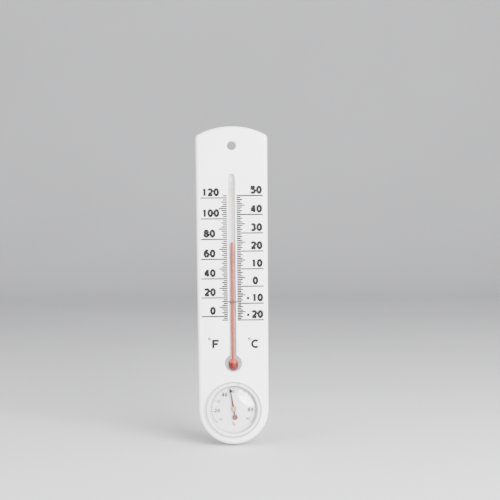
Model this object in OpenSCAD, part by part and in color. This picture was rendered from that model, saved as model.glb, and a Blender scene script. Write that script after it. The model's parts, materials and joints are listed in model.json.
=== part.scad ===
// Wall thermometer with a humidity dial.
//
// A white moulded body hangs on a nail. A spirit-in-glass tube lies in a groove down its
// front, with its bulb in a round window, and a hair-fine humidity movement sits in a
// round case that snaps into the foot of the body.
//
// Each part is drawn lying on its back: x runs across the body, y up it and z out of the
// wall. upright() then stands the drawing up, so that the finished model has +Z up, its
// front facing -Y and its back on the plane y = 0. The origin is on the axis of the hang
// hole, in the plane of the wall. All sizes are in millimetres.

/* [Body] */
// Overall height of the body
body_h = 250; // [210:1:300]
// Width across the shoulders
top_w = 56.5; // [50:0.5:68]
// Width across the round foot
foot_w = 55; // [52:0.5:66]
// Depth from the wall to the front face
body_d = 12; // [11.5:0.1:16]
// Thickness of the moulded wall
wall_t = 2; // [1.5:0.1:2.5]
// Rounding of the front edge
edge_r = 3; // [2.8:0.1:4]
// Radius of the arched top
crown_r = 57; // [50:1:90]
// Rounding of each shoulder
shoulder_r = 4; // [4:0.5:8]
// Number of stiffening ribs behind the front
rib_count = 5; // [2:1:8]
// Height of a rib
rib_h = 2.2; // [1:0.1:2.6]
// Thickness of a rib
rib_t = 1.2; // [0.8:0.1:2]

/* [Hang hole] */
// Diameter of the hang hole
hang_d = 7; // [5:0.1:9]
// Drop of the hang hole below the top
hang_drop = 15.2; // [12:0.1:20]
// Wall of the collar round the hang hole
hang_wall = 2; // [1.2:0.1:3]
// Rounding of the hole's front lip
hang_lip_r = 1.5; // [0.5:0.1:2]

/* [Glass tube] */
// Outer diameter of the tube
tube_d = 5.4; // [4.4:0.1:6.6]
// Diameter of the bore
bore_d = 1.5; // [0.8:0.1:2]
// Outer diameter of the bulb
bulb_d = 9; // [7:0.1:10.8]
// Overall length of the bulb
bulb_l = 10.8; // [10.8:0.1:12.8]
// Thickness of the bulb's glass
bulb_glass = 0.6; // [0.4:0.1:1]
// Height of the tube's axis above the front face
tube_proud = -1.9; // [-2.4:0.1:-1.2]
// Gap from the hang hole's axis down to the tube's tip
tube_drop = 22.3; // [16:0.1:30]
// Height of the bulb above the dial's centre
bulb_rise = 35.4; // [34:0.1:44]
// Diameter of the window round the bulb
window_d = 13.4; // [11.6:0.1:16]
// Height of the window's centre above the bulb's
window_lift = 1.1; // [0:0.1:1.2]
// Height of the wire clip above the bulb
clip_rise = 49.5; // [20:0.1:60]
// Diameter of the clip's wire
clip_wire_d = 0.9; // [0.6:0.1:1.2]

/* [Temperature scale] */
// Gap from the tube's tip down to the hottest mark
scale_top_gap = 16.9; // [14:0.1:24]
// Gap from the bulb's centre up to the coldest mark
scale_foot_gap = 35.2; // [22:0.1:40]
// Temperature of the hottest mark, in degrees Celsius
hottest = 50; // [40:1:50]
// Temperature of the coldest mark, in degrees Celsius
coldest = -20; // [-30:1:-10]
// Temperature shown, in degrees Celsius
shown_temperature = 25; // [-20:1:40]
// How much wider a degree is at the hottest mark than at the coldest, as a share
scale_spread = 0.14; // [0:0.01:0.3]

/* [Humidity dial] */
// Outer diameter of the dial case's flange
flange_d = 45.6; // [44.4:0.1:48]
// Outer diameter of the case where it enters the body
case_d = 40.6; // [38:0.1:41.4]
// Thickness of the flange
flange_t = 1.2; // [0.8:0.1:1.5]
// Thickness of the case's side wall
case_wall = 1.2; // [1:0.1:1.6]
// Depth of the dial's face below the front of the body
dial_sink = 4; // [3.6:0.1:4.4]
// Thickness of the printed dial
dial_t = 0.4; // [0.3:0.1:0.5]
// Height of the clear dome above the flange
dome_h = 3.8; // [2.5:0.1:5]
// Thickness of the clear cover
cover_t = 1; // [0.8:0.1:1.2]
// Gap from the pointer's tip to the inside of the clear cover
pointer_gap = 1.05; // [0.5:0.05:5]
// Humidity shown, in percent
shown_humidity = 47.5; // [0:0.5:100]
// Diameter of the pointer's spindle
spindle_d = 1.2; // [1:0.1:1.4]
// Turns of the humidity coil
coil_turns = 6; // [3:1:7]
// Outer radius of the humidity coil
coil_r = 9.2; // [7:0.1:10]

/* [Hidden] */
$fn = 96;

// Clearances
run_gap = 0.03;    // round a part that turns or slides in a bore
seat_gap = 0.05;   // between faces that seat on each other
slip_gap = 0.2;    // between the dial case and the hole it snaps into
cut = 1;           // how far a cutter runs past what it cuts

// Body outline: a foot circle, two shoulder circles and a crown circle, joined by tangents.
top_y = hang_drop;
foot_r = foot_w / 2;
foot_y = top_y - body_h + foot_r;
crown_y = top_y - crown_r;
shoulder_x = top_w / 2 - shoulder_r;
shoulder_y = crown_y + sqrt(pow(crown_r - shoulder_r, 2) - pow(shoulder_x, 2));
crown_a = atan2(shoulder_x, shoulder_y - crown_y);
span = norm([shoulder_x, shoulder_y - foot_y]);
side_a = atan2(shoulder_y - foot_y, shoulder_x) - acos((foot_r - shoulder_r) / span);
plate_back = body_d - wall_t;

// Glass tube
tube_r = tube_d / 2;
bore_r = bore_d / 2;
bulb_r = bulb_d / 2;
bulb_y = foot_y + bulb_rise;
tube_z = body_d + tube_proud;
tip_h = -tube_drop - bulb_y;
groove_r = tube_r + seat_gap;
channel_wall = 1.2;
channel_back = tube_z - groove_r - channel_wall;
tip_l = 4.5;
chamber_r = 1.2;
chamber_l = 5;
chamber_h = tip_h - tip_l - chamber_l / 2;
neck_h = bulb_l / 2 + 1;
fill_gap = 0.02;
meniscus_l = 1.2;

// Heights on the scale, measured up from the bulb's centre
cold_h = scale_foot_gap;
hot_h = tip_h - scale_top_gap;
function warmth(t) = (t - coldest) / (hottest - coldest);
function scale_h(t) = cold_h + (hot_h - cold_h) * warmth(t) * (1 + scale_spread / 2 * (warmth(t) - 1));
spirit_top = scale_h(shown_temperature);

// Wire clip
clip_r = clip_wire_d / 2;
clip_bend_r = tube_r + clip_r + seat_gap;
clip_hole_w = clip_wire_d + 0.3;
clip_back = channel_back - clip_r - seat_gap;
clip_foot_l = 2.4;

// Adhesive pads behind the tube
pad_w = 3.4;
pad_l = 9;
pad_t = 0.6;
pad_drops = [10, 62];

// Dial case
case_r = case_d / 2;
flange_r = flange_d / 2;
case_back = 0.8;
case_floor = 1.2;
floor_z = case_back + case_floor;
hole_r = case_r + slip_gap;
collar_r = hole_r + 1.5;
collar_back = 4.6;
case_in_r = case_r - case_wall;
ledge_r = case_in_r - 1.7;
dial_z = body_d - dial_sink;
lug_h = 1.2;
lug_out = 0.7;
key_w = 2.4;
key_out = 0.6;
vent_w = 1.6;
vent_in_r = 5.5;
vent_out_r = 11;
vent_count = 8;
pivot_r = 2;
pivot_h = 1.4;

// Clear cover
cover_r = flange_r - 0.8;
skirt_r = case_in_r - seat_gap;
skirt_t = 0.8;
pointer_reach = skirt_r - skirt_t - pointer_gap;
dome_base_r = skirt_r - 0.1;
dome_z = body_d + flange_t;
dome_r = (dome_base_r * dome_base_r + dome_h * dome_h) / (2 * dome_h);
rim_h = 0.9;

// Movement, measured along its axis from the wall
spindle_r = spindle_d / 2;
bush_r = 1.5;
bush_head_r = 2.3;
bush_head_t = 0.35;
arm_t = 0.4;
arm_z = dial_z - dial_t - seat_gap - arm_t;
washer_t = 0.3;
washer_z = arm_z - seat_gap - washer_t;
bush_tail_t = 0.4;
bush_back = washer_z - bush_tail_t;
arm_w = 2;
arm_reach = 13;
arm_tab_t = 0.6;
arm_tab_w = 1.8;
calibration_swing = 20;
coil_w = 1.8;
coil_t = 0.25;
coil_z = floor_z + pivot_h + 0.5;
coil_hub_r = 1.3;
post_r = 0.4;
collet_l = 2.2;
spindle_back = floor_z + 0.2;
spindle_front = dial_z + 2.5;
hub_z = dial_z + bush_head_t + seat_gap + 0.15;
hub_foot_r = 2;
hub_neck_r = 1.1;
hub_foot_t = 0.6;
pointer_t = 0.3;
head_l = 3.6;
head_w = 3;
barb = 0.3;
neck_w = 0.8;
root_w = 1.6;
tail_w = 1;
tail_reach = 6.6;
tail_r = 2.2;
tip_washer_r = 1.9;
tip_washer_t = 0.35;

// Angles on the dial run clockwise from twelve o'clock.
mid_humidity_a = -1.3;
degrees_per_percent = 3.18;
function humidity_a(h) = mid_humidity_a + degrees_per_percent * (h - 50);

// Points along an arc, ends included.
function arc(r, from, to, centre = [0, 0], steps = 12) =
    [for (i = [0:steps]) let (a = from + (to - from) * i / steps) centre + r * [cos(a), sin(a)]];

// Distance from the middle to the body's side at height y.
function side_x(y) = shoulder_x + shoulder_r / cos(side_a) + (y - shoulder_y) * -tan(side_a);

module upright() rotate([90, 0, 0]) children();

// ---- Body ----

// Half of a slab's section, rounded by edge at its outer top corner.
module rim_section(reach, depth, edge) {
    square([reach - edge, depth]);
    square([reach, depth - edge]);
    translate([reach - edge, depth - edge]) intersection() {
        circle(r = edge, $fn = 32);
        square(edge);
    }
}

// The body's outline moved in by inset, as a slab whose front edge is rounded by edge.
module outline_slab(inset, depth, edge) hull() {
    translate([0, foot_y]) rotate_extrude() rim_section(foot_r - inset, depth, edge);
    translate([0, crown_y]) rotate_extrude(start = 90 - crown_a, angle = 2 * crown_a)
        rim_section(crown_r - inset, depth, edge);
    for (side = [-1, 1]) translate([side * shoulder_x, shoulder_y])
        rotate_extrude($fn = 64) rim_section(shoulder_r - inset, depth, edge);
}

module collar(r, back) translate([0, 0, back]) cylinder(r = r, h = plate_back - back + wall_t / 2);

// Cutter that rounds the front lip of a hole of radius r.
module lip_cutter(r, lip)
    translate([0, 0, body_d - lip]) rotate_extrude() difference() {
        square([r + lip, lip + cut]);
        translate([r + lip, 0]) circle(r = lip, $fn = 32);
    }

module tube_channel() {
    channel_w = 2 * (groove_r + channel_wall);
    translate([-channel_w / 2, bulb_y, channel_back])
        cube([channel_w, tip_h + 2 * channel_wall, plate_back - channel_back + wall_t / 2]);
}

module ribs() {
    first_y = -tube_drop + 4;
    last_y = bulb_y + window_d;
    for (i = [0:rib_count - 1]) {
        y = first_y + (last_y - first_y) * i / (rib_count - 1);
        half = side_x(y) - wall_t / 2;
        translate([-half, y - rib_t / 2, plate_back - rib_h]) cube([2 * half, rib_t, rib_h + wall_t / 2]);
    }
}

// Cutter for the groove that the tube lies in: round below, open above, with a tapered end.
module tube_groove() translate([0, bulb_y, tube_z]) {
    mouth_w = groove_r - 0.02;
    rotate([-90, 0, 0]) cylinder(r = groove_r, h = tip_h + seat_gap);
    linear_extrude(body_d) polygon([
        [-mouth_w, 0], [-mouth_w, tip_h - tip_l / 2], [-mouth_w / 2, tip_h + 0.3],
        [mouth_w / 2, tip_h + 0.3], [mouth_w, tip_h - tip_l / 2], [mouth_w, 0]
    ]);
}

module pad_pockets()
    for (drop = pad_drops)
        translate([-pad_w / 2, -tube_drop - drop - pad_l, tube_z - groove_r - pad_t])
            cube([pad_w, pad_l, groove_r]);

module body_shell() color("white") difference() {
    union() {
        difference() {
            outline_slab(0, body_d, edge_r);
            translate([0, 0, -cut]) outline_slab(wall_t, plate_back + cut, edge_r - wall_t);
        }
        collar(hang_d / 2 + hang_wall, 0);
        translate([0, bulb_y + window_lift]) collar(window_d / 2 + channel_wall, channel_back);
        translate([0, foot_y]) collar(collar_r, collar_back);
        tube_channel();
        ribs();
    }
    translate([0, 0, -cut]) cylinder(d = hang_d, h = body_d + 2 * cut);
    lip_cutter(hang_d / 2, hang_lip_r);
    translate([0, bulb_y + window_lift, -cut]) cylinder(d = window_d, h = body_d + 2 * cut);
    translate([0, bulb_y + window_lift]) lip_cutter(window_d / 2, 0.6);
    translate([0, foot_y, -cut]) cylinder(r = hole_r, h = body_d + 2 * cut);
    translate([-key_w / 2 - slip_gap, foot_y - hole_r - key_out - slip_gap, collar_back - cut])
        cube([key_w + 2 * slip_gap, key_out + 1, body_d]);
    tube_groove();
    pad_pockets();
    for (side = [-1, 1])
        translate([side * clip_bend_r - clip_hole_w / 2, bulb_y + clip_rise - clip_hole_w / 2, -cut])
            cube([clip_hole_w, clip_hole_w, body_d + 2 * cut]);
}

// ---- Glass tube ----

module at_bulb() translate([0, bulb_y, tube_z]) rotate([-90, 0, 0]) children();

// Half outline of the bulb, moved in by inset, from its lowest point up to radius neck.
function bulb_points(inset, neck) =
    let (r = bulb_r - inset, mid = bulb_l / 2 - bulb_r, top_a = acos(neck / r))
    concat(arc(r, -90, 0, [0, -mid], 16), arc(r, 0, top_a, [0, mid], 12));

module glass_tube() color([0.85, 0.9, 0.92, 0.45]) at_bulb() difference() {
    rotate_extrude() polygon(concat(
        bulb_points(0, tube_r),
        [for (a = [0:9:90]) [tube_r * pow(cos(a), 0.8), tip_h - tip_l + tip_l * sin(a)]]
    ));
    rotate_extrude() polygon(concat(
        bulb_points(bulb_glass, bore_r),
        arc(chamber_r, -50, 0, [0, chamber_h - chamber_l / 2 + chamber_r], 6),
        arc(chamber_r, 0, 90, [0, chamber_h + chamber_l / 2 - chamber_r], 8)
    ));
}

module spirit_bulb() color("crimson") at_bulb() rotate_extrude()
    polygon(concat(
        bulb_points(bulb_glass + fill_gap, bore_r - run_gap),
        [[bore_r - run_gap, neck_h], [0, neck_h]]
    ));

module spirit_column() color("crimson") at_bulb()
    translate([0, 0, neck_h]) cylinder(r = bore_r - run_gap, h = spirit_top - meniscus_l - neck_h);

// The top of the column, which shows the temperature.
module spirit_meniscus() color("crimson") at_bulb() translate([0, 0, spirit_top - meniscus_l]) {
    r = bore_r - run_gap;
    rotate_extrude() polygon(concat([[0, 0], [r, 0]], arc(r, 0, 90, [0, meniscus_l - r], 8)));
}

// A staple of copper wire over the tube, with its ends bent in behind the channel.
module tube_clip() color("peru") translate([0, bulb_y + clip_rise, 0]) {
    translate([0, 0, tube_z]) rotate([90, 0, 0]) rotate_extrude(angle = 180)
        translate([clip_bend_r, 0]) circle(r = clip_r);
    for (side = [-1, 1]) translate([side * clip_bend_r, 0, clip_back]) {
        cylinder(r = clip_r, h = tube_z - clip_back);
        sphere(r = clip_r);
        rotate([0, side * -90, 0]) cylinder(r = clip_r, h = clip_foot_l);
    }
}

module tube_adhesive() color("ivory") difference() {
    for (drop = pad_drops)
        translate([-pad_w / 2 + seat_gap, -tube_drop - drop - pad_l + seat_gap, tube_z - groove_r - pad_t])
            cube([pad_w - 2 * seat_gap, pad_l - 2 * seat_gap, groove_r / 2 + pad_t]);
    at_bulb() translate([0, 0, neck_h]) cylinder(r = tube_r, h = tip_h);
}

// ---- Humidity dial ----

module at_dial() translate([0, foot_y]) children();

// Turns a child drawn at twelve o'clock to a clockwise angle.
module clock(a) rotate(-a) children();

// Cutter for an arc-shaped slot, centred on the clock angle a.
module arc_slot(r, w, a, sweep, h)
    rotate_extrude(start = 90 - a - sweep, angle = 2 * sweep) translate([r - w / 2, 0]) square([w, h]);

module dial_case() color("whitesmoke") at_dial() difference() {
    union() {
        translate([0, 0, case_back]) cylinder(r = case_r, h = body_d - case_back);
        translate([0, 0, body_d]) cylinder(r = flange_r, h = flange_t);
        for (a = [60, 180, 300]) clock(a)
            translate([-2, case_r - 1, collar_back - lug_h - seat_gap]) cube([4, 1 + lug_out, lug_h]);
        translate([-key_w / 2, -case_r - key_out, collar_back])
            cube([key_w, key_out + 0.5, body_d - collar_back - cut]);
    }
    translate([0, 0, dial_z - dial_t]) cylinder(r = case_in_r, h = body_d);
    difference() {
        translate([0, 0, floor_z]) cylinder(r = ledge_r, h = body_d);
        translate([0, 0, floor_z - cut]) cylinder(r = pivot_r, h = pivot_h + cut);
    }
    for (i = [1:vent_count - 1]) clock(180 + i * 360 / vent_count)
        translate([-vent_w / 2, vent_in_r, 0]) cube([vent_w, vent_out_r - vent_in_r, body_d / 2]);
    arc_slot(arm_reach, arm_tab_t + 1, 180, calibration_swing + 8, floor_z + cut);
    translate([0, 0, floor_z]) cylinder(r = spindle_r + run_gap, h = body_d);
}

module dial_plate() color("white") at_dial() translate([0, 0, dial_z - dial_t]) difference() {
    cylinder(r = case_in_r - seat_gap, h = dial_t);
    translate([0, 0, -cut]) cylinder(r = bush_r + seat_gap, h = dial_t + 2 * cut);
}

module dial_cover() color([0.92, 0.95, 0.97, 0.3]) at_dial() difference() {
    union() {
        translate([0, 0, dome_z]) cylinder(r = cover_r, h = rim_h);
        translate([0, 0, dial_z + seat_gap]) cylinder(r = skirt_r, h = dome_z - dial_z);
        intersection() {
            translate([0, 0, dome_z + dome_h - dome_r]) sphere(r = dome_r);
            translate([0, 0, dome_z]) cylinder(r = dome_base_r, h = dome_h + cut);
        }
    }
    intersection() {
        translate([0, 0, dome_z + dome_h - dome_r]) sphere(r = dome_r - cover_t);
        translate([0, 0, dial_z - cut]) cylinder(r = skirt_r - skirt_t, h = body_d);
    }
    translate([0, 0, dial_z - cut]) cylinder(r = skirt_r - skirt_t, h = dome_z - dial_z + cut);
}

// Brass bush, a hollow rivet through the dial that the spindle turns in.
module dial_bush() color("goldenrod") at_dial() difference() {
    union() {
        translate([0, 0, dial_z]) cylinder(r = bush_head_r, h = bush_head_t);
        translate([0, 0, bush_back]) cylinder(r = bush_r, h = dial_z - bush_back);
        translate([0, 0, bush_back]) cylinder(r = bush_head_r, h = bush_tail_t - seat_gap);
    }
    translate([0, 0, bush_back - cut]) cylinder(r = spindle_r + run_gap, h = body_d);
}

module friction_washer() color("silver") at_dial() translate([0, 0, washer_z]) difference() {
    cylinder(r = bush_head_r + 0.4, h = washer_t);
    translate([0, 0, -cut]) cylinder(r = bush_r + seat_gap, h = washer_t + 2 * cut);
}

// Lever that turns on the bush and holds the coil's outer end. Its tail reaches back
// through the arc slot in the case, where it can be pushed to set the pointer.
module calibration_arm() color("lightgray") at_dial() difference() {
    union() {
        translate([0, 0, arm_z]) cylinder(r = 3, h = arm_t);
        translate([-arm_w / 2, -arm_reach - arm_tab_t / 2, arm_z])
            cube([arm_w, arm_reach + arm_tab_t / 2, arm_t]);
        translate([-arm_tab_w / 2, -arm_reach - arm_tab_t / 2, case_back + 0.2])
            cube([arm_tab_w, arm_tab_t, arm_z + arm_t - case_back - 0.2]);
        translate([0, -coil_r - post_r - coil_t / 2, coil_z])
            cylinder(r = post_r, h = arm_z - coil_z + arm_t / 2);
    }
    translate([0, 0, arm_z - cut]) cylinder(r = bush_r + run_gap, h = arm_t + 2 * cut);
}

// Points along the coil's spiral, moved sideways by offset.
coil_steps = coil_turns * 16;
function coil_radius(i) = coil_hub_r + (coil_r - coil_hub_r) * i / coil_steps;
function coil_a(i) = -90 + 360 * coil_turns * i / coil_steps;
function spiral(offset) =
    [for (i = [0:coil_steps]) (coil_radius(i) + offset) * [cos(coil_a(i)), sin(coil_a(i))]];
function backwards(points) = [for (i = [len(points) - 1:-1:0]) points[i]];

// Spiral of humidity-sensitive foil from the collet out to the arm's post.
module humidity_coil() color("tan") at_dial()
    translate([0, 0, coil_z]) linear_extrude(coil_w)
        polygon(concat(spiral(coil_t / 2), backwards(spiral(-coil_t / 2))));

module coil_collet() color("goldenrod") at_dial() translate([0, 0, coil_z - 0.2]) difference() {
    cylinder(r = coil_hub_r - coil_t / 2 - run_gap, h = collet_l);
    translate([0, 0, -cut]) cylinder(r = spindle_r, h = collet_l + 2 * cut);
}

module spindle() color("silver") at_dial() {
    translate([0, 0, spindle_back]) cylinder(r = spindle_r, h = spindle_front - spindle_back);
}

module pointer_hub() color("goldenrod") at_dial() translate([0, 0, hub_z]) difference() {
    union() {
        cylinder(r = hub_foot_r, h = hub_foot_t);
        cylinder(r = hub_neck_r, h = hub_foot_t + pointer_t + tip_washer_t);
    }
    translate([0, 0, -cut]) cylinder(r = spindle_r, h = body_d);
}

// Flat pointer: a tapered blade, an arrow head and a round tail that balances it.
module pointer_blank() {
    cylinder(r = hub_foot_r, h = pointer_t);
    translate([0, -tail_reach]) cylinder(r = tail_r, h = pointer_t);
    linear_extrude(pointer_t) polygon([
        [-tail_w / 2, -tail_reach], [-root_w / 2, 0], [-neck_w / 2, pointer_reach - head_l],
        [-head_w / 2, pointer_reach - head_l - barb], [0, pointer_reach],
        [head_w / 2, pointer_reach - head_l - barb], [neck_w / 2, pointer_reach - head_l],
        [root_w / 2, 0], [tail_w / 2, -tail_reach]
    ]);
}

module pointer() color("firebrick") at_dial() clock(humidity_a(shown_humidity))
    translate([0, 0, hub_z + hub_foot_t]) difference() {
        pointer_blank();
        translate([0, 0, -cut]) cylinder(r = hub_neck_r + run_gap, h = pointer_t + 2 * cut);
    }

module tip_washer() color("goldenrod") at_dial()
    translate([0, 0, hub_z + hub_foot_t + pointer_t]) difference() {
        cylinder(r = tip_washer_r, h = tip_washer_t);
        translate([0, 0, -cut]) cylinder(r = hub_neck_r + run_gap, h = tip_washer_t + 2 * cut);
    }

upright() body_shell();
upright() dial_case();
upright() dial_plate();
upright() dial_cover();
upright() dial_bush();
upright() friction_washer();
upright() calibration_arm();
upright() humidity_coil();
upright() coil_collet();
upright() spindle();
upright() pointer_hub();
upright() pointer();
upright() tip_washer();
upright() glass_tube();
upright() spirit_bulb();
upright() spirit_column();
upright() spirit_meniscus();
upright() tube_clip();
upright() tube_adhesive();
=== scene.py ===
"""Looks of a wall thermometer with a humidity dial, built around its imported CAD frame."""
import json
import math

import bmesh
import bpy
from mathutils import Matrix, Vector


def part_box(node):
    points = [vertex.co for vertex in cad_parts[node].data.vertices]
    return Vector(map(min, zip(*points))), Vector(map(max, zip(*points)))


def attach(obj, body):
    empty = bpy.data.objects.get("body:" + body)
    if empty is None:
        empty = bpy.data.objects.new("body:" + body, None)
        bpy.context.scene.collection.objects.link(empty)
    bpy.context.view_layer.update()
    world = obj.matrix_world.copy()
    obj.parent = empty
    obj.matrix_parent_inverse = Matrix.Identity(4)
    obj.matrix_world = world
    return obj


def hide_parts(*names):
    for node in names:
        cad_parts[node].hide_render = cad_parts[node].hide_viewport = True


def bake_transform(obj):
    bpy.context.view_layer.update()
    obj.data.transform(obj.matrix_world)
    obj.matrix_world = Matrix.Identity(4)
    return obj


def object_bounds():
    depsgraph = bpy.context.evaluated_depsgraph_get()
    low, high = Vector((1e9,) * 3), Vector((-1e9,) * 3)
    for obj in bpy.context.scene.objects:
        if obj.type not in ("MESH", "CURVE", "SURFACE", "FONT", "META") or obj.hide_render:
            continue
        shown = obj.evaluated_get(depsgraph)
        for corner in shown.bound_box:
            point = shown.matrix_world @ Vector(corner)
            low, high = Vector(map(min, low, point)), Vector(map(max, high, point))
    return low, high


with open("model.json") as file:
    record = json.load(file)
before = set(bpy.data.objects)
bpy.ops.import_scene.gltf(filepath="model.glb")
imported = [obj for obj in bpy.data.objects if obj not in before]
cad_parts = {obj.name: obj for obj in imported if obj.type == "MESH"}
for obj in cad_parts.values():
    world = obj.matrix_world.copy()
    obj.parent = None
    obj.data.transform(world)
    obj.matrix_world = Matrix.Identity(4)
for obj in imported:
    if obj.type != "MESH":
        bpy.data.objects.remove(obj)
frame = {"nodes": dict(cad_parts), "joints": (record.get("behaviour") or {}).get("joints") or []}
cad_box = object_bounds()
nodes = frame["nodes"]
MM = 0.001


# ---- Places, all taken from the frame ----

body_low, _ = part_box("body_shell")
plate_low, plate_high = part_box("dial_plate")
cover_low, cover_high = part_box("dial_cover")
bulb_low, bulb_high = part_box("spirit_bulb")
column_low, column_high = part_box("spirit_column")
tip_low, tip_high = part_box("spirit_meniscus")
joints = {joint["name"]: joint for joint in frame["joints"]}

FACE_Y = body_low.y
DIAL_Y = plate_low.y
DIAL_Z = (plate_low.z + plate_high.z) / 2
DIAL_R = (plate_high.x - plate_low.x) / 2
COVER_R = (cover_high.x - cover_low.x) / 2

# Temperatures at the ends of the spirit's travel, and how much wider the top degree is than the mean one.
COLDEST_C, HOTTEST_C = -20.0, 50.0
SPREAD = 0.14
COLD_Z = tip_high.z + joints["spirit_rise"]["range_m"][0]
HOT_Z = tip_high.z + joints["spirit_rise"]["range_m"][1]

# Humidity dial: 50 percent stands a little left of twelve o'clock.
MID_PERCENT, MID_ANGLE = 50, -1.3
DEGREES_PER_PERCENT = 3.18


def scale_z(celsius):
    """Height of a temperature on the scale: a degree is a little wider the hotter it is."""
    w = (celsius - COLDEST_C) / (HOTTEST_C - COLDEST_C)
    return COLD_Z + (HOT_Z - COLD_Z) * w * (1 + SPREAD / 2 * (w - 1))


def fahrenheit_z(degree):
    """Height of a Fahrenheit temperature on the same scale."""
    return scale_z((degree - 32) / 1.8)


def dial_angle(percent):
    """Clockwise angle from twelve o'clock of a humidity on the dial, in radians."""
    return math.radians(DEGREES_PER_PERCENT * (percent - MID_PERCENT) + MID_ANGLE)


# ---- Shader nodes ----

def new_material(name):
    material = bpy.data.materials.new(name)
    material.use_nodes = True
    tree = material.node_tree
    shader = next(n for n in tree.nodes if n.type == "BSDF_PRINCIPLED")
    return material, tree, shader


def socket_set(shader, **values):
    """Set a shader's own sockets, with underscores for the spaces in their names."""
    for key, value in values.items():
        shader.inputs[key.replace("_", " ")].default_value = value


def coordinates(tree, scale=(1, 1, 1)):
    """Object coordinates, which for every piece are the frame's own in metres."""
    place = tree.nodes.new("ShaderNodeTexCoord")
    mapping = tree.nodes.new("ShaderNodeMapping")
    mapping.inputs["Scale"].default_value = scale
    tree.links.new(place.outputs["Object"], mapping.inputs["Vector"])
    return mapping.outputs["Vector"]


def noise(tree, scale, detail, vector):
    node = tree.nodes.new("ShaderNodeTexNoise")
    node.inputs["Scale"].default_value = scale
    node.inputs["Detail"].default_value = detail
    tree.links.new(vector, node.inputs["Vector"])
    return node.outputs["Fac"]


def ramp(tree, fac, *stops):
    """Colours at the given (position, colour) stops, blended between them."""
    node = tree.nodes.new("ShaderNodeValToRGB")
    elements = node.color_ramp.elements
    while len(elements) < len(stops):
        elements.new(0.5)
    for element, (at, colour) in zip(elements, stops):
        element.position = at
        element.color = (*colour, 1)
    tree.links.new(fac, node.inputs["Fac"])
    return node.outputs["Color"]


def span(tree, fac, low, high, start=0.0, end=1.0):
    """Carry a value from start..end over to low..high."""
    node = tree.nodes.new("ShaderNodeMapRange")
    for key, value in (("From Min", start), ("From Max", end), ("To Min", low), ("To Max", high)):
        node.inputs[key].default_value = value
    tree.links.new(fac, node.inputs["Value"])
    return node.outputs["Result"]


def arithmetic(tree, operation, *values):
    """A maths node fed with other nodes' outputs and plain numbers."""
    node = tree.nodes.new("ShaderNodeMath")
    node.operation = operation
    for socket, value in zip(node.inputs, values):
        if isinstance(value, float):
            socket.default_value = value
        else:
            tree.links.new(value, socket)
    return node.outputs["Value"]


def height(tree, vector):
    node = tree.nodes.new("ShaderNodeSeparateXYZ")
    tree.links.new(vector, node.inputs["Vector"])
    return node.outputs["Z"]


def distance(tree, vector, centre):
    offset = tree.nodes.new("ShaderNodeVectorMath")
    offset.operation = "SUBTRACT"
    offset.inputs[1].default_value = centre
    tree.links.new(vector, offset.inputs[0])
    length = tree.nodes.new("ShaderNodeVectorMath")
    length.operation = "LENGTH"
    tree.links.new(offset.outputs["Vector"], length.inputs[0])
    return length.outputs["Value"]


def bump(tree, shader, relief, strength, depth):
    node = tree.nodes.new("ShaderNodeBump")
    node.inputs["Strength"].default_value = strength
    node.inputs["Distance"].default_value = depth
    tree.links.new(relief, node.inputs["Height"])
    tree.links.new(node.outputs["Normal"], shader.inputs["Normal"])


def feed(tree, shader, colour, roughness):
    tree.links.new(colour, shader.inputs["Base Color"])
    tree.links.new(roughness, shader.inputs["Roughness"])


# ---- Kinds of material ----

FINE = 0.01 * MM    # relief of paint, ink and tooling marks


def plastic(name, dark, light, rough, grain=900, grain_depth=0.02 * MM, coat=0.0):
    """Moulded plastic: faint flow mottling in the colour, and a fine spark-eroded grain."""
    material, tree, shader = new_material(name)
    vector = coordinates(tree)
    feed(tree, shader, ramp(tree, noise(tree, 28, 3, vector), (0.35, dark), (0.65, light)),
         span(tree, noise(tree, 160, 4, vector), rough - 0.05, rough + 0.06))
    bump(tree, shader, noise(tree, grain, 2, vector), 0.12, grain_depth)
    socket_set(shader, Coat_Weight=coat, IOR=1.5)
    return material


def metal(name, dark, light, rough, stretch=(1, 1, 1), metallic=1.0):
    """Metal with fine tooling marks and slight tarnish."""
    material, tree, shader = new_material(name)
    marks = noise(tree, 1800, 3, coordinates(tree, stretch))
    feed(tree, shader, ramp(tree, noise(tree, 240, 4, coordinates(tree)), (0.3, dark), (0.6, light)),
         span(tree, marks, rough - 0.08, rough + 0.12))
    bump(tree, shader, marks, 0.15, FINE)
    socket_set(shader, Metallic=metallic)
    return material


def enamel(name, dark, light, rough, coat):
    """Paint with a slight orange peel."""
    material, tree, shader = new_material(name)
    vector = coordinates(tree)
    feed(tree, shader, ramp(tree, noise(tree, 300, 3, vector), (0.3, dark), (0.7, light)),
         span(tree, noise(tree, 500, 2, vector), rough - 0.04, rough + 0.05))
    bump(tree, shader, noise(tree, 1500, 1, vector), 0.08, FINE)
    socket_set(shader, Coat_Weight=coat)
    return material


def pointer_paint(name, body, tip, tip_from):
    """Enamel that turns from the body colour to the tip colour at a share of the dial's radius."""
    material, tree, shader = new_material(name)
    vector = coordinates(tree)
    reach = span(tree, distance(tree, vector, (0, DIAL_Y, DIAL_Z)), 0.0, 1.0, 0.0, DIAL_R)
    feed(tree, shader, ramp(tree, reach, (0.0, body), (tip_from, body), (tip_from + 0.03, tip)),
         span(tree, noise(tree, 500, 2, vector), 0.26, 0.36))
    bump(tree, shader, noise(tree, 1500, 1, vector), 0.08, FINE)
    socket_set(shader, Specular_IOR_Level=0.06)
    return material


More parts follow.
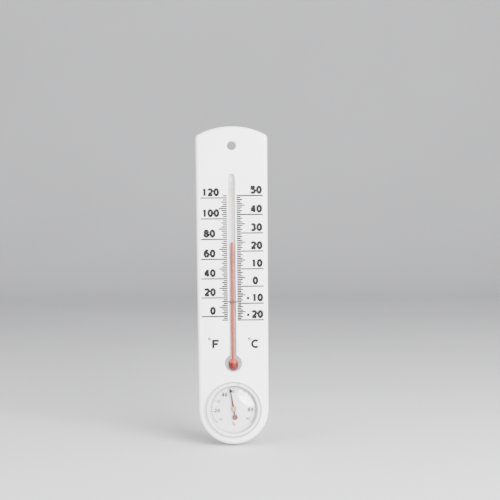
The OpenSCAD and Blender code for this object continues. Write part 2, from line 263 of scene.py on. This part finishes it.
def spirit(name, deep, paler, by_height):
    """Dyed spirit with a slow swirl in the dye. By height, it's deep in the bulb and orange at its neck, the
    orange being a painted highlight for the glare of the glass on the bulb's top.
    """
    material, tree, shader = new_material(name)
    vector = coordinates(tree)
    if by_height:
        # Paler orange towards the top of the bulb is a painted highlight: the glare of the glass over it.
        painted_highlight_height = span(tree, height(tree, vector), 0.0, 1.0, bulb_low.z, bulb_high.z)
        stirred = arithmetic(tree, "MULTIPLY_ADD", noise(tree, 500, 2, vector), 0.08, painted_highlight_height)
        colour = ramp(tree, stirred, (0.55, deep), (0.78, paler))
    else:
        colour = ramp(tree, noise(tree, 260, 2, vector), (0.3, deep), (0.7, paler))
    feed(tree, shader, colour, span(tree, noise(tree, 300, 2, vector), 0.35, 0.45))
    socket_set(shader, Specular_IOR_Level=0.1)
    return material


def film(name, colour_of, body_of, facing, aslant, haze):
    """Clear wall that bends light too little to matter: faintly milky, and glossier where it's seen aslant.

    colour_of(tree, vector) gives its colour, and body_of(tree, vector) how much it hides.
    """
    material, tree, shader = new_material(name)
    vector = coordinates(tree)
    feed(tree, shader, colour_of(tree, vector), span(tree, noise(tree, 300, 2, vector), 0.05, 0.09))
    tree.links.new(body_of(tree, vector), shader.inputs["Alpha"])
    gloss = tree.nodes.new("ShaderNodeBsdfGlossy")
    gloss.inputs["Roughness"].default_value = haze
    slant = tree.nodes.new("ShaderNodeLayerWeight").outputs["Facing"]
    mix = tree.nodes.new("ShaderNodeMixShader")
    share = ramp(tree, slant, (0.0, [facing] * 3), (0.65, [aslant] * 3), (1.0, [0.45] * 3))
    tree.links.new(share, mix.inputs[0])
    tree.links.new(shader.outputs["BSDF"], mix.inputs[1])
    tree.links.new(gloss.outputs["BSDF"], mix.inputs[2])
    output = next(n for n in tree.nodes if n.type == "OUTPUT_MATERIAL")
    tree.links.new(mix.outputs["Shader"], output.inputs["Surface"])
    return material


def ink(name, dark, light):
    """Printing ink: dense, slightly uneven in its coverage."""
    material, tree, shader = new_material(name)
    patchy = noise(tree, 700, 4, coordinates(tree))
    feed(tree, shader, ramp(tree, patchy, (0.3, dark), (0.75, light)), span(tree, patchy, 0.5, 0.7))
    bump(tree, shader, patchy, 0.1, FINE)
    socket_set(shader, Specular_IOR_Level=0.06)
    return material


# ---- The object's materials ----

SHADE_RING_W = 1.0 * MM         # width of the cover's rim over which its painted shade turns it grey
SHADE_RING_EDGE = 0.5 * MM      # how far inside the cover's edge the painted shade is fully grey
SHADE_RING_BODY = 0.42          # how much the rim's painted shade hides
THIN_WALL = 0.15         # how much of the tube's milkiness the thin bulb wall has
NECK_BELOW, NECK_ABOVE = 1 * MM, 3 * MM     # where the wall thickens, from the top of the spirit's bulb


def cover_rim(tree):
    """0 over the clear cover, rising to 1 at its rim, where a painted shade ring stands in for the shadow
    line round the cover's edge.
    """
    across = distance(tree, coordinates(tree, (1, 0, 1)), (0, 0, DIAL_Z))
    return span(tree, across, 0.0, 1.0, COVER_R - SHADE_RING_EDGE - SHADE_RING_W, COVER_R - SHADE_RING_EDGE)


def cover_colour(tree, _vector):
    # The dark grey at the rim is painted shade, not a tint of the clear plastic.
    return ramp(tree, cover_rim(tree), (0.0, (0.93, 0.935, 0.94)), (1.0, (0.22, 0.205, 0.21)))


def cover_body(tree, vector):
    milky = span(tree, noise(tree, 90, 2, vector), 0.004, 0.012)
    # The painted shade ring is also made less clear, so that it shows.
    return arithmetic(tree, "MULTIPLY_ADD", cover_rim(tree), SHADE_RING_BODY, milky)


def tube_colour(tree, vector):
    return ramp(tree, noise(tree, 40, 2, vector), (0.3, (0.30, 0.225, 0.175)), (0.7, (0.38, 0.295, 0.235)))


def tube_body(tree, vector):
    """Milky along the thick-walled stem, and nearly clear round the bulb."""
    milky = span(tree, noise(tree, 90, 2, vector), 0.075, 0.105)
    neck = bulb_high.z
    wall = span(tree, height(tree, vector), THIN_WALL, 1.0, neck - NECK_BELOW, neck + NECK_ABOVE)
    return arithmetic(tree, "MULTIPLY", milky, wall)


white_body = plastic("white_body", (0.82, 0.815, 0.82), (0.86, 0.855, 0.86), 0.36)
white_case = plastic("white_case", (0.83, 0.825, 0.83), (0.87, 0.865, 0.87), 0.26, grain=500, coat=0.15)
cement = plastic("cement", (0.62, 0.60, 0.52), (0.70, 0.68, 0.60), 0.5, grain=400, grain_depth=0.1 * MM)
dial_white = enamel("dial_white", (0.74, 0.715, 0.72), (0.79, 0.765, 0.77), 0.45, coat=0.05)
wire = enamel("wire", (0.016, 0.004, 0.002), (0.034, 0.010, 0.005), 0.5, coat=0.0)
cover_clear = film("cover_clear", cover_colour, cover_body, facing=0.065, aslant=0.1, haze=0.06)
tube_clear = film("tube_clear", tube_colour, tube_body, facing=0.008, aslant=0.03, haze=0.3)
spirit_red = spirit("spirit_red", (0.10, 0.0008, 0.0005), (0.42, 0.04, 0.008), by_height=True)
thread_red = spirit("thread_red", (0.26, 0.022, 0.008), (0.33, 0.038, 0.014), by_height=False)
pointer_red = pointer_paint("pointer_red", (0.095, 0.0003, 0.003), (0.003, 0.001, 0.002), tip_from=0.69)
brass = metal("brass", (0.42, 0.27, 0.10), (0.72, 0.52, 0.24), 0.28)
steel = metal("steel", (0.42, 0.42, 0.43), (0.62, 0.62, 0.63), 0.3, stretch=(1, 12, 1))
foil = metal("foil", (0.45, 0.36, 0.22), (0.66, 0.56, 0.38), 0.42, metallic=0.6)
scale_ink = ink("scale_ink", (0.010, 0.009, 0.009), (0.020, 0.019, 0.019))
rule_ink = ink("rule_ink", (0.003, 0.0025, 0.0025), (0.008, 0.007, 0.007))
dial_ink = ink("dial_ink", (0.0015, 0.0015, 0.002), (0.005, 0.005, 0.006))

CAD_MATERIALS = {
    "body_shell": white_body, "dial_case": white_case, "dial_plate": dial_white, "dial_cover": cover_clear,
    "dial_bush": brass, "friction_washer": steel, "calibration_arm": steel, "humidity_coil": foil,
    "coil_collet": brass, "spindle": steel, "pointer_hub": brass, "pointer": pointer_red, "tip_washer": brass,
    "glass_tube": tube_clear, "spirit_bulb": spirit_red, "spirit_column": thread_red,
    "spirit_meniscus": thread_red, "tube_clip": wire, "tube_adhesive": cement,
}
for node_name, material in CAD_MATERIALS.items():
    mesh = nodes[node_name].data
    mesh.materials.clear()
    mesh.materials.append(material)


# ---- Mesh helpers ----

def link(name, mesh):
    piece = bpy.data.objects.new(name, mesh)
    bpy.context.scene.collection.objects.link(piece)
    return piece


def finish_mesh(name, bm):
    bmesh.ops.recalc_face_normals(bm, faces=bm.faces)
    mesh = bpy.data.meshes.new(name)
    bm.to_mesh(mesh)
    bm.free()
    return mesh


def add_piece(name, bm, material):
    """A finished piece that stays with the case."""
    piece = link(name, finish_mesh(name, bm))
    piece.data.materials.append(material)
    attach(piece, "case")
    return piece


def on_front(x, y, z, turn=0.0):
    """Frame whose u runs right, v up and w towards the viewer, at a point of a face that looks along -Y."""
    upright = Matrix.Rotation(math.radians(90), 4, "X")
    return Matrix.Translation((x, y, z)) @ upright @ Matrix.Rotation(turn, 4, "Z")


def turned(u, v, r, angle):
    """The point at a radius and an anticlockwise angle from +u round (u, v)."""
    return u + r * math.cos(angle), v + r * math.sin(angle)


# ---- Body, with its moulded curves smoothed ----

SHARP = math.radians(25)    # an edge that turns by more than this stays crisp
WELD = 0.001 * MM


def smoothed_copy(name, node, material):
    """A copy of a CAD node that shades its curved faces smoothly and keeps its edges crisp."""
    bm = bmesh.new()
    bm.from_mesh(nodes[node].data)
    bm.transform(nodes[node].matrix_world)
    bmesh.ops.remove_doubles(bm, verts=bm.verts, dist=WELD)
    bmesh.ops.dissolve_degenerate(bm, dist=WELD, edges=bm.edges)
    for face in bm.faces:
        face.smooth = True
    for edge in bm.edges:
        edge.smooth = len(edge.link_faces) == 2 and edge.calc_face_angle(math.pi) < SHARP
    piece = add_piece(name, bm, material)
    weigh = piece.modifiers.new("weigh", "WEIGHTED_NORMAL")
    weigh.keep_sharp = True
    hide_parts(node)


smoothed_copy("body_moulding", "body_shell", white_body)


# ---- Spirit in the bore ----

THREAD_R = 1.1 * MM     # as wide as the glass makes the thread look
THREAD_SIDES = 28
THREAD_STEPS = 24
CROWN_TURNS = [math.radians(15 * i) for i in range(1, 6)]


def spirit_thread(name):
    """The thread of spirit, from inside the bulb up to its rounded top."""
    axis = (column_low + column_high) / 2
    start = bulb_low.z + 0.35 * (bulb_high.z - bulb_low.z)
    shoulder, rise = tip_low.z, tip_high.z - tip_low.z
    rings = [(THREAD_R, start + (shoulder - start) * i / THREAD_STEPS) for i in range(THREAD_STEPS + 1)]
    rings += [(THREAD_R * math.cos(a), shoulder + rise * math.sin(a)) for a in CROWN_TURNS]
    bm = bmesh.new()
    loops = []
    for r, z in rings:
        corners = [turned(axis.x, axis.y, r, 2 * math.pi * j / THREAD_SIDES) for j in range(THREAD_SIDES)]
        loops.append([bm.verts.new((*corner, z)) for corner in corners])
    for under, over in zip(loops, loops[1:]):
        for j in range(THREAD_SIDES):
            k = (j + 1) % THREAD_SIDES
            bm.faces.new((under[j], under[k], over[k], over[j]))
    bm.faces.new(list(reversed(loops[0])))
    crown = bm.verts.new((axis.x, axis.y, tip_high.z))
    for j in range(THREAD_SIDES):
        bm.faces.new((loops[-1][j], loops[-1][(j + 1) % THREAD_SIDES], crown))
    for face in bm.faces:
        face.smooth = len(face.verts) < 5
    piece = link(name, finish_mesh(name, bm))
    piece.data.materials.append(thread_red)
    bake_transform(piece)
    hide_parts("spirit_column", "spirit_meniscus")


spirit_thread("spirit_thread")


# ---- Printing ----

INK = 0.04 * MM                 # thickness of the ink, half of it sunk into the face it's printed on
LIFT = 0.002 * MM               # step between strokes that cross, so that their faces don't coincide
FACE_PRINT_Y = FACE_Y + 0.5 * INK
DIAL_PRINT_Y = DIAL_Y + 0.5 * INK


def patch(bm, outline, place):
    """A patch of ink with the given outline: (u, v) pairs in metres, laid by place onto the object."""
    under, over = [[bm.verts.new(place @ Vector((u, v, depth))) for u, v in outline] for depth in (0.0, INK)]
    bm.faces.new(over)
    bm.faces.new(list(reversed(under)))
    for i in range(len(outline)):
        j = (i + 1) % len(outline)
        bm.faces.new((under[i], under[j], over[j], over[i]))


def bar(length, width, steps=4):
    """Outline of a bar from u = 0 to length with softly rounded ends, as printed ink leaves it."""
    r = width / 2
    corner = r * 0.6
    points = []
    for u, v, start in ((length - corner, corner - r, -90), (length - corner, r - corner, 0),
                        (corner, r - corner, 90), (corner, corner - r, 180)):
        points += [turned(u, v, corner, math.radians(start + 90 * i / steps)) for i in range(steps + 1)]
    return points


def ring(bm, inner, outer, place, steps=32):
    """A flat printed ring round the frame's origin."""
    loops = []
    for depth in (0.0, INK):
        for r in (inner, outer):
            corners = [turned(0, 0, r, 2 * math.pi * i / steps) for i in range(steps)]
            loops.append([bm.verts.new(place @ Vector((*corner, depth))) for corner in corners])
    for i in range(steps):
        j = (i + 1) % steps
        for a, b in ((0, 1), (1, 3), (3, 2), (2, 0)):
            bm.faces.new((loops[a][i], loops[a][j], loops[b][j], loops[b][i]))


def ellipse(cx, cy, rx, ry, start, end, steps=18):
    """Points along part of an ellipse; angles run anticlockwise from +u, in degrees."""
    angles = [math.radians(start + (end - start) * i / steps) for i in range(steps + 1)]
    return [(cx + rx * math.cos(a), cy + ry * math.sin(a)) for a in angles]


# Centre lines of the strokes of each printed character, in a box of 1 by 1.
GLYPHS = {
    "0": [ellipse(0.5, 0.5, 0.5, 0.5, 0, 360, 32)],
    "1": [[(0.8, -0.13), (0.8, 1.13)], [(0.8, 0.98), (0.45, 0.82), (-0.1, 0.74)]],
    "2": [ellipse(0.5, 0.71, 0.5, 0.29, 170, -35) + [(0.06, 0.04)], [(-0.18, 0.0), (1.18, 0.0)]],
    "3": [ellipse(0.47, 0.76, 0.44, 0.24, 160, -90), ellipse(0.47, 0.26, 0.5, 0.26, 90, -160)],
    "4": [[(0.76, -0.13), (0.76, 1.13)], [(0.72, 1.0), (0.0, 0.32)], [(-0.18, 0.25), (1.25, 0.25)]],
    "5": [[(1.12, 1.0), (0.16, 1.0), (0.06, 0.48)], ellipse(0.46, 0.32, 0.54, 0.32, 132, -155)],
    "6": [ellipse(0.5, 0.31, 0.5, 0.31, 0, 360, 28), ellipse(0.56, 0.5, 0.56, 0.5, 48, 180) + [(0.0, 0.3)]],
    "7": [[(-0.18, 1.0), (1.18, 1.0)], [(0.98, 0.96), (0.6, 0.55), (0.34, -0.13)]],
    "8": [ellipse(0.5, 0.75, 0.42, 0.25, 0, 360, 24), ellipse(0.5, 0.26, 0.5, 0.26, 0, 360, 28)],
    "9": [ellipse(0.5, 0.69, 0.5, 0.31, 0, 360, 28), ellipse(0.44, 0.5, 0.56, 0.5, 228, 360) + [(1.0, 0.7)]],
    "F": [[(0.0, -0.12), (0.0, 1.12)], [(-0.1, 1.0), (1.18, 1.0)], [(0.0, 0.5), (0.98, 0.5)]],
    "C": [ellipse(0.54, 0.5, 0.54, 0.5, 48, 312, 26)],
    "-": [[(-0.8, 0.4), (1.8, 0.4)]],
    "%": [ellipse(0.2, 0.76, 0.2, 0.24, 0, 360, 20), ellipse(0.8, 0.24, 0.2, 0.24, 0, 360, 20),
          [(0.22, -0.05), (0.78, 1.05)]],
}
# Widths of the characters that aren't as wide as a digit, as shares of it.
GLYPH_WIDTHS = {"1": 0.7, "-": 0.6, "%": 1.7}


def ribbon(bm, path, width, place, base):
    """A flat stroke of even width along a path of (u, v) points in metres."""
    closed = math.dist(path[0], path[-1]) < 1e-9
    points = [Vector(p) for p in (path[:-1] if closed else path)]
    count = len(points)
    sides = []
    for i, p in enumerate(points):
        before = points[i - 1] if i or closed else None
        after = points[(i + 1) % count] if i < count - 1 or closed else None
        steps = [(q - r).normalized() for q, r in ((p, before), (after, p))
                 if q is not None and r is not None]
        along = sum(steps, Vector((0, 0))).normalized()
        half = width / 2 / max(0.5, along.dot(steps[0]))
        across = Vector((-along.y, along.x)) * half
        sides.append([bm.verts.new(place @ Vector((*(p + way * across), base + depth)))
                      for way, depth in ((-1, 0.0), (1, 0.0), (1, INK), (-1, INK))])
    for i in range(count if closed else count - 1):
        a, b = sides[i], sides[(i + 1) % count]
        for j in range(4):
            k = (j + 1) % 4
            bm.faces.new((a[j], a[k], b[k], b[j]))
    if not closed:
        bm.faces.new(sides[0])
        bm.faces.new(list(reversed(sides[-1])))


def print_text(bm, text, place, tall, wide, pitch, stroke):
    """Characters set one by one at an even pitch, centred on the frame's origin and standing on it."""
    for i, character in enumerate(text):
        w = wide * GLYPH_WIDTHS.get(character, 1.0) - stroke
        h = tall - stroke
        u = (i - (len(text) - 1) / 2) * pitch - w / 2
        for n, path in enumerate(GLYPHS[character]):
            ribbon(bm, [(u + x * w, stroke / 2 + y * h) for x, y in path], stroke, place, n * LIFT)


# ---- Temperature scales, printed on the body ----

RULE_IN, RULE_OUT = 3.7 * MM, 24.5 * MM     # from the tube's axis to the ends of a long rule
TICK_SHORT, TICK, TICK_LONG = 7.0 * MM, 8.3 * MM, 10.3 * MM
RULE_W, TICK_W = 1.1 * MM, 1.12 * MM
NUMERAL_TYPE = {"tall": 6.7 * MM, "wide": 4.85 * MM, "pitch": 4.75 * MM, "stroke": 2.1 * MM}
NUMERAL_GAP = 1.15 * MM                     # from the middle of a rule to the foot of its numeral
# Middles of the numerals with one, two and three characters, in millimetres.
FAHRENHEIT_X = {1: -15.5, 2: -17.7, 3: -16.8}
CELSIUS_X = {1: 18.0, 2: 19.1, 3: 16.9}


def print_rules(name, side, degrees, z_of, rule_every, long_every, tick_every):
    """Rules and ticks of one scale, to the left of the tube (side -1) or to its right (side 1)."""
    rules = bmesh.new()
    for degree in degrees:
        if degree % rule_every == 0:
            reach, thickness = RULE_OUT, RULE_W
        elif degree % long_every == 0:
            reach, thickness = TICK_LONG, RULE_W
        else:
            reach, thickness = TICK if degree % tick_every == 0 else TICK_SHORT, TICK_W
        place = on_front(side * RULE_IN, FACE_PRINT_Y, z_of(degree), 0.0 if side > 0 else math.pi)
        patch(rules, bar(reach - RULE_IN, thickness), place)
    add_piece(name, rules, rule_ink)


def print_numerals(bm, degrees, z_of, centres):
    for degree in degrees:
        text = str(degree)
        place = on_front(centres[len(text)] * MM, FACE_PRINT_Y, z_of(degree) + NUMERAL_GAP)
        print_text(bm, text, place, **NUMERAL_TYPE)


print_rules("celsius_rules", 1, range(-20, 51), scale_z, 10, 5, 2)
print_rules("fahrenheit_rules", -1, range(-4, 124, 2), fahrenheit_z, 20, 10, 4)

numerals = bmesh.new()
print_numerals(numerals, range(0, 121, 20), fahrenheit_z, FAHRENHEIT_X)
print_numerals(numerals, range(-20, 51, 10), scale_z, CELSIUS_X)
add_piece("scale_numerals", numerals, scale_ink)

UNIT_DROP = 15.2 * MM                       # from the coldest rule to the top of the unit letters
UNIT_TOP = COLD_Z - UNIT_DROP
UNIT_TALL, UNIT_STROKE = 7.2 * MM, 1.95 * MM
DEGREE_IN, DEGREE_OUT, DEGREE_LIFT = 0.35 * MM, 1.1 * MM, 0.4 * MM
# Letter, its middle, its width and the middle of its degree ring, in millimetres.
UNITS = (("F", -13.6, 5.8, -18.5), ("C", 17.5, 6.9, 12.9))

units = bmesh.new()
for letter, letter_x, width, ring_x in UNITS:
    letter_place = on_front(letter_x * MM, FACE_PRINT_Y, UNIT_TOP - UNIT_TALL)
    print_text(units, letter, letter_place, UNIT_TALL, width * MM, 0, UNIT_STROKE)
    ring(units, DEGREE_IN, DEGREE_OUT, on_front(ring_x * MM, FACE_PRINT_Y, UNIT_TOP + DEGREE_LIFT))
add_piece("unit_marks", units, scale_ink)


# ---- Humidity dial, printed on the plate ----

ARC_R = DIAL_R - 1.5 * MM
ARC_W = 0.4 * MM
ARC_STEPS = 90
LOWEST, HIGHEST = 10, 90                    # percent
TEN_MARK, MARK = (1.9 * MM, 0.55 * MM), (1.1 * MM, 0.3 * MM)      # length and width
MAIN_R, MAIN_DROP = 13.2 * MM, 1.35 * MM    # radius of the main figures, and their feet's drop below it
MAIN_TYPE = {"tall": 3.2 * MM, "wide": 2.15 * MM, "pitch": 2.4 * MM, "stroke": 0.82 * MM}
SMALL_R, SMALL_DROP = 13.6 * MM, 0.85 * MM
SMALL_TYPE = {"tall": 2.1 * MM, "wide": 1.35 * MM, "pitch": 1.55 * MM, "stroke": 0.42 * MM}
SIGN_R = 13.4 * MM
SIGN_TYPE = {"tall": 2.8 * MM, "wide": 1.7 * MM, "pitch": 0, "stroke": 0.36 * MM}


def on_dial(percent, r, inward=False):
    """Frame at a place on the dial: upright, or with u pointing at the dial's centre."""
    a = dial_angle(percent)
    turn = -a - math.pi / 2 if inward else 0.0
    return on_front(r * math.sin(a), DIAL_PRINT_Y, DIAL_Z + r * math.cos(a), turn)


dial_print = bmesh.new()
for percent in range(LOWEST, HIGHEST + 1, 2):
    length, width = TEN_MARK if percent % 10 == 0 else MARK
    patch(dial_print, bar(length, width), on_dial(percent, ARC_R, inward=True))

arc_angles = [dial_angle(LOWEST + (HIGHEST - LOWEST) * i / ARC_STEPS) for i in range(ARC_STEPS + 1)]
inside, outside = [[(r * math.sin(a), r * math.cos(a)) for a in arc_angles]
                   for r in (ARC_R - ARC_W / 2, ARC_R + ARC_W / 2)]
dial_centre = on_front(0, DIAL_PRINT_Y, DIAL_Z)
for i in range(ARC_STEPS):
    patch(dial_print, [inside[i], outside[i], outside[i + 1], inside[i + 1]], dial_centre)

for percent in (20, 40, 60, 80):
    place = on_dial(percent, MAIN_R) @ Matrix.Translation((0, -MAIN_DROP, 0))
    print_text(dial_print, str(percent), place, **MAIN_TYPE)
for percent in (10, 30, 50, 70, 90):
    place = on_dial(percent, SMALL_R) @ Matrix.Translation((0, -SMALL_DROP, 0))
    print_text(dial_print, str(percent), place, **SMALL_TYPE)
print_text(dial_print, "%", on_front(0, DIAL_PRINT_Y, DIAL_Z - SIGN_R), **SIGN_TYPE)
add_piece("dial_figures", dial_print, dial_ink)


# ---- Floor that sweeps up into a backdrop, in metres ----

low, high = Vector(cad_box[0]), Vector(cad_box[1])
middle = (low + high) / 2

HALF_WIDTH, FRONT, BACK, RISE, BEND = 3.5, 3.0, 1.7, 3.0, 0.8
BEND_STEPS = 16
FLOOR_Z = low.z - 2 * MM

profile = [(-FRONT, FLOOR_Z), (BACK, FLOOR_Z)]
for i in range(1, BEND_STEPS + 1):
    a = math.radians(90 * i / BEND_STEPS)
    profile.append((BACK + BEND * math.sin(a), FLOOR_Z + BEND * (1 - math.cos(a))))
profile.append((BACK + BEND, FLOOR_Z + RISE))
floor_bm = bmesh.new()
rows = [[floor_bm.verts.new((x, y, z)) for x in (-HALF_WIDTH, HALF_WIDTH)] for y, z in profile]
for a, b in zip(rows, rows[1:]):
    floor_bm.faces.new((a[0], a[1], b[1], b[0]))
for face in floor_bm.faces:
    face.smooth = True
floor_mesh = bpy.data.meshes.new("floor")
floor_bm.to_mesh(floor_mesh)
floor_bm.free()
floor = link("floor", floor_mesh)
floor_pale, floor_tree, floor_shader = new_material("floor_pale")
floor_noise = noise(floor_tree, 3, 2, coordinates(floor_tree))
floor_colour = ramp(floor_tree, floor_noise, (0.3, (0.62, 0.62, 0.63)), (0.7, (0.65, 0.65, 0.66)))
floor_tree.links.new(floor_colour, floor_shader.inputs["Base Color"])
socket_set(floor_shader, Roughness=0.7)
floor_mesh.materials.append(floor_pale)


# ---- Lights ----

# Name, place from the object's middle, size in metres, watts and shape.
LIGHTS = (
    ("key", (0.62, -1.0, 0.33), (0.95, 0.95), 74, "ELLIPSE"),
    ("fill", (-1.0, -0.9, 0.35), (0.9, 1.2), 12, "RECTANGLE"),
    ("top", (0.0, -0.25, 1.1), (1.0, 0.6), 11, "RECTANGLE"),
)
for name, offset, size, power, shape in LIGHTS:
    light = bpy.data.lights.new(name, "AREA")
    light.shape = shape
    light.size, light.size_y = size
    light.energy = power
    lamp = link(name, light)
    lamp.location = middle + Vector(offset)
    lamp.rotation_euler = (-Vector(offset)).to_track_quat("-Z", "Y").to_euler()

world = bpy.data.worlds.new("studio")
bpy.context.scene.world = world
world.use_nodes = True
background = next(n for n in world.node_tree.nodes if n.type == "BACKGROUND")
background.inputs["Color"].default_value = (0.96, 0.97, 1.0, 1)
background.inputs["Strength"].default_value = 0.6


# ---- Camera ----

DISTANCE = 1.0
ELEVATION = math.radians(1.8)
ROLL = math.radians(-0.53)
AIM_RIGHT, AIM_UP = 14.0 * MM, 28.0 * MM    # from the object's middle to the middle of the picture
LENS, SENSOR = 91.9, 36.0

aim = Vector((middle.x + AIM_RIGHT, body_low.y, middle.z + AIM_UP))
towards = Vector((0, -math.cos(ELEVATION), math.sin(ELEVATION)))
view = bpy.data.cameras.new("camera")
view.lens = LENS
view.sensor_width = SENSOR
camera = link("camera", view)
camera.location = aim + DISTANCE * towards
level = (-towards).to_track_quat("-Z", "Y").to_matrix()
camera.rotation_euler = (level @ Matrix.Rotation(ROLL, 3, "Z")).to_euler()
bpy.context.scene.camera = camera
